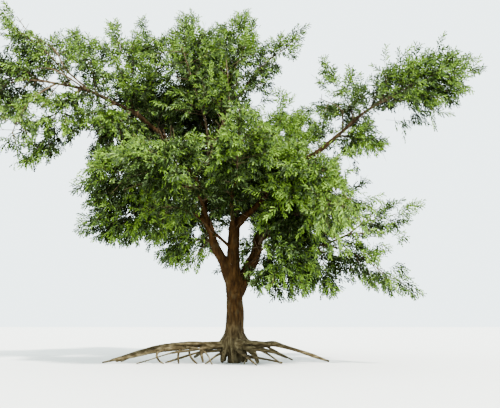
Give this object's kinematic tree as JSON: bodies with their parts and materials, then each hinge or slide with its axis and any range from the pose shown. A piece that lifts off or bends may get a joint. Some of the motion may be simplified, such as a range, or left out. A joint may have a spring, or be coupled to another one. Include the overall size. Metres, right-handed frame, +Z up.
{
  "type": "marula tree",
  "caption": "Full-grown marula tree in leaf: a stout trunk on bare spreading roots forks low into curving boughs that carry a wide, open crown of feathery foliage",
  "frame": {"origin": "middle of the flat cut under the trunk, at ground level", "axes": "+Z up the trunk, +X along the crown's longest spread, to the right of the view with the two long arms side by side, +Y away from that view"},
  "size_m": [16.8749, 10.389, 12.5706],
  "materials": {
    "bark": "rough grey-brown bark",
    "root": "weathered grey bark",
    "leaf_mid": "satin leaf",
    "leaf_light": "satin leaf",
    "leaf_deep": "satin leaf"
  },
  "bodies": {
    "root": {"trunk": "bark", "bough_left_stem": "bark", "bough_right_stem": "bark", "bough_left_arm": "bark", "bough_right_arm": "bark", "bough_right_middle": "bark", "bough_left_low": "bark", "bough_left_shelf": "bark", "bough_front_left": "bark", "bough_top_left": "bark", "bough_top_right": "bark", "bough_back_top": "bark", "bough_front_middle": "bark", "bough_right_hang": "bark", "bough_back_left": "bark", "bough_back_middle": "bark", "bough_back_right": "bark", "root_left_long": "root", "root_left_back": "root", "root_left_prop": "root", "root_front": "root", "root_right_long": "root", "root_right_arch": "root", "root_right_low": "root", "root_back_left": "root", "root_back_right": "root", "foliage_left_end": "leaf_mid", "foliage_left_rise": "leaf_light", "foliage_left_knoll": "leaf_deep", "foliage_left_crest": "leaf_mid", "foliage_left_droop": "leaf_light", "foliage_left_under": "leaf_deep", "foliage_left_shelf": "leaf_mid", "foliage_left_low": "leaf_light", "foliage_left_skirt": "leaf_deep", "foliage_front_left": "leaf_mid", "foliage_top_left": "leaf_light", "foliage_top": "leaf_deep", "foliage_top_right": "leaf_mid", "foliage_plume": "leaf_light", "foliage_back_top": "leaf_deep", "foliage_front_middle": "leaf_mid", "foliage_heart": "leaf_light", "foliage_right_inner": "leaf_deep", "foliage_arm_crest": "leaf_mid", "foliage_right_end": "leaf_light", "foliage_arm_under": "leaf_deep", "foliage_front_right": "leaf_mid", "foliage_right_main": "leaf_light", "foliage_right_outer": "leaf_deep", "foliage_right_shelf": "leaf_mid", "foliage_right_mid": "leaf_light", "foliage_right_low": "leaf_deep", "foliage_right_skirt": "leaf_mid", "foliage_right_hang": "leaf_light", "foliage_back_left": "leaf_deep", "foliage_back_middle": "leaf_mid", "foliage_back_right": "leaf_light", "foliage_high_left": "leaf_deep", "foliage_high_right": "leaf_mid"}
  },
  "joints": []
}
